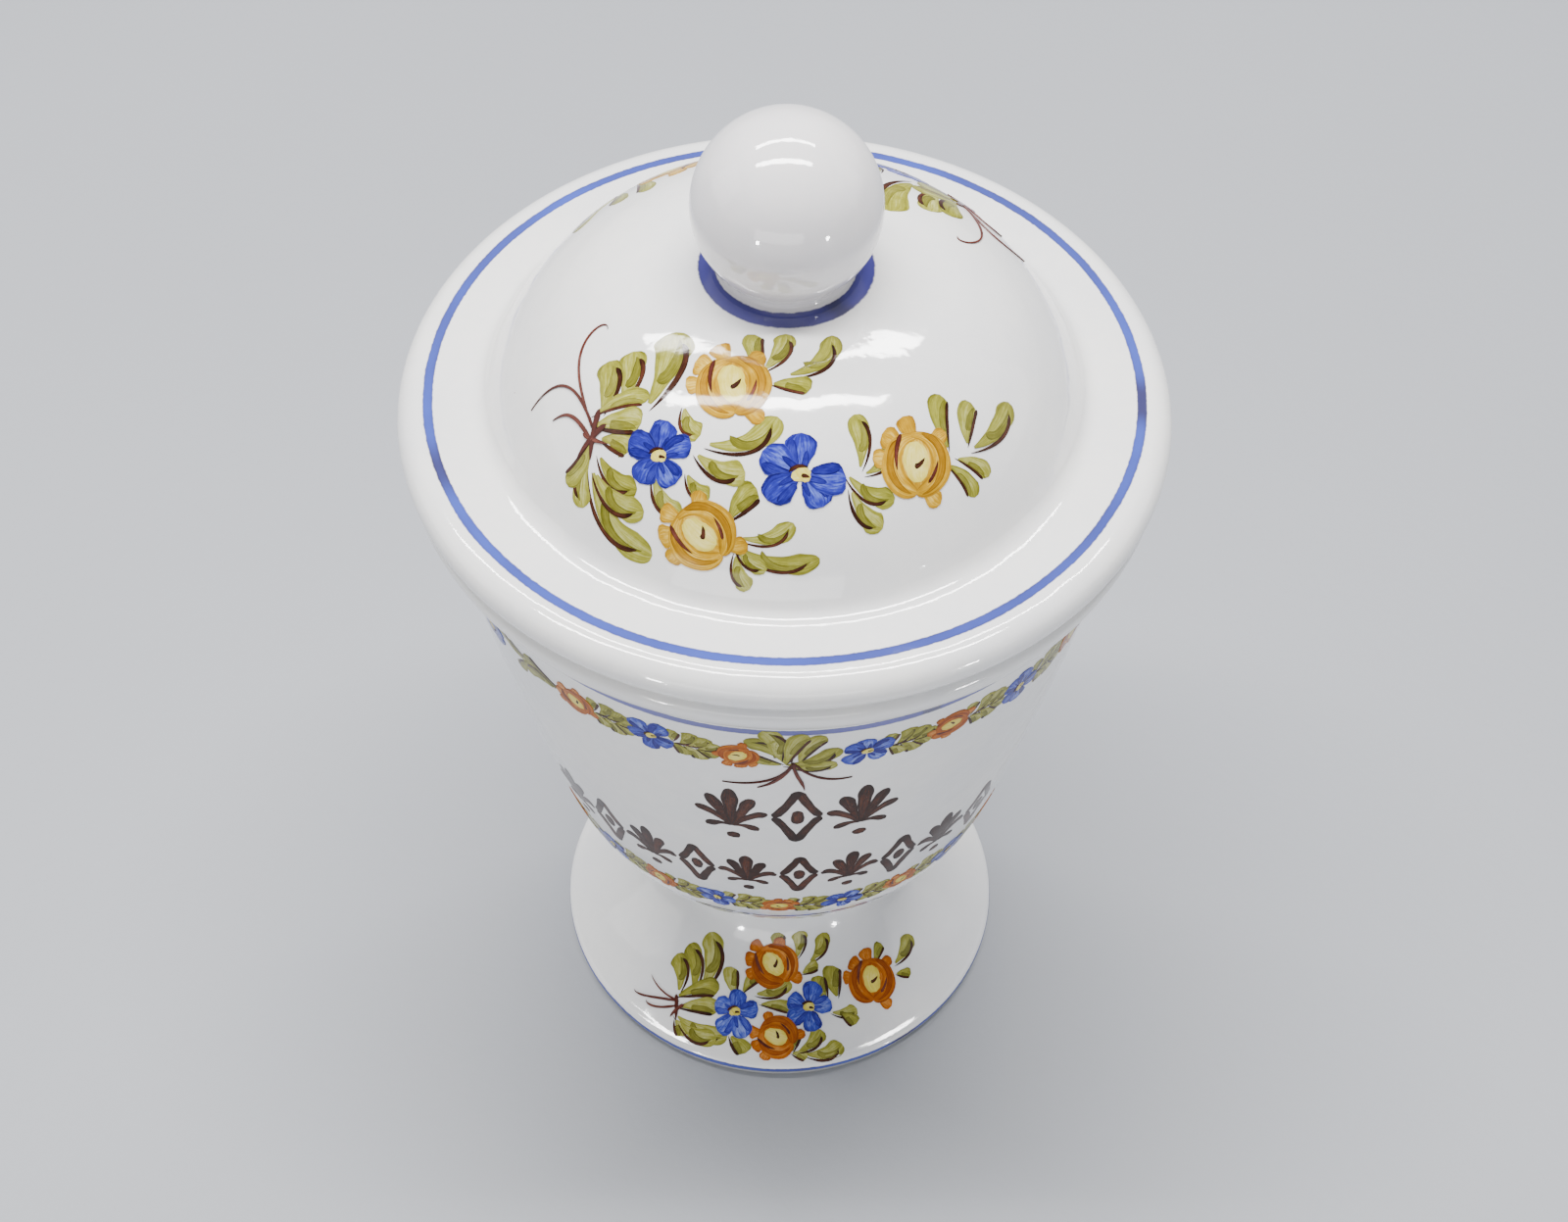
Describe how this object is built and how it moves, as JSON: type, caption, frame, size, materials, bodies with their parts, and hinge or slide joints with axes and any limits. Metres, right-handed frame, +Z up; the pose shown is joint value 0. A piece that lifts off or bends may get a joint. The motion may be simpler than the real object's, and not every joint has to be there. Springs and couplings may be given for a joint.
{
  "type": "covered apothecary jar",
  "caption": "Footed pharmacy jar with a goblet bowl, trumpet foot and lift-off domed lid with a ball knob.",
  "frame": {"origin": "centre of the foot ring, on the surface the jar stands on", "axes": "+Z is up along the throwing axis, from the foot to the knob; -Y faces the front of the jar"},
  "size_m": [0.1528, 0.1528, 0.2507],
  "materials": {
    "foot_glaze": "glossy white tin glaze",
    "bowl_glaze": "glossy white tin glaze",
    "cover_glaze": "glossy white tin glaze",
    "flange_glaze": "thin satin tin glaze",
    "knob_glaze": "glossy white tin glaze"
  },
  "bodies": {
    "jar": {"jar_foot": "foot_glaze", "jar_bowl": "bowl_glaze"},
    "lid": {"lid_cover": "cover_glaze", "lid_flange": "flange_glaze", "lid_knob": "knob_glaze"}
  },
  "joints": [
    {"name": "lid_lift", "type": "slide", "parent": "jar", "child": "lid", "axis": [0, 0, 1], "range_m": [0, 0.08]}
  ]
}
